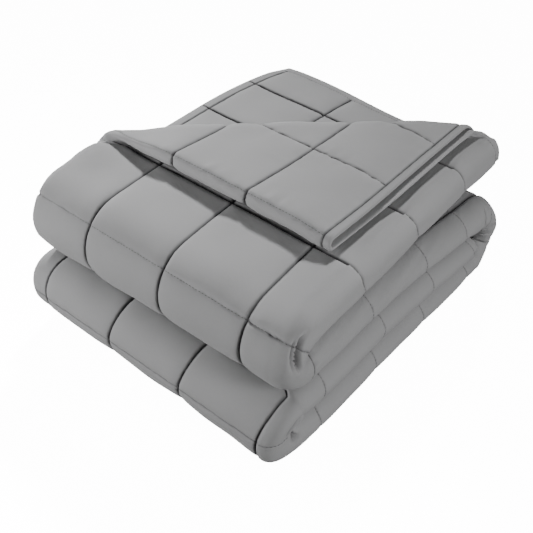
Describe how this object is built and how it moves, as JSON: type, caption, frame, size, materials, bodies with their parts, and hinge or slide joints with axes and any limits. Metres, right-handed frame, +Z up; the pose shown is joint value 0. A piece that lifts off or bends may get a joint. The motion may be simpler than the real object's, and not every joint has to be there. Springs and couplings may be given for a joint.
{
  "type": "weighted blanket, folded",
  "caption": "Grey quilted weighted blanket, folded into a square pile with one corner of its top layers turned over.",
  "frame": {"origin": "on the floor, under the middle of the pile's box", "axes": "+Z up; +Y from the side with the two round folds to the far side with the large round fold; +X towards the side where the strip's own fold shows as stacked puffs"},
  "size_m": [0.3986, 0.5124, 0.227],
  "materials": {
    "cloth": "matte"
  },
  "bodies": {
    "root": {"blanket": "cloth"}
  },
  "joints": []
}
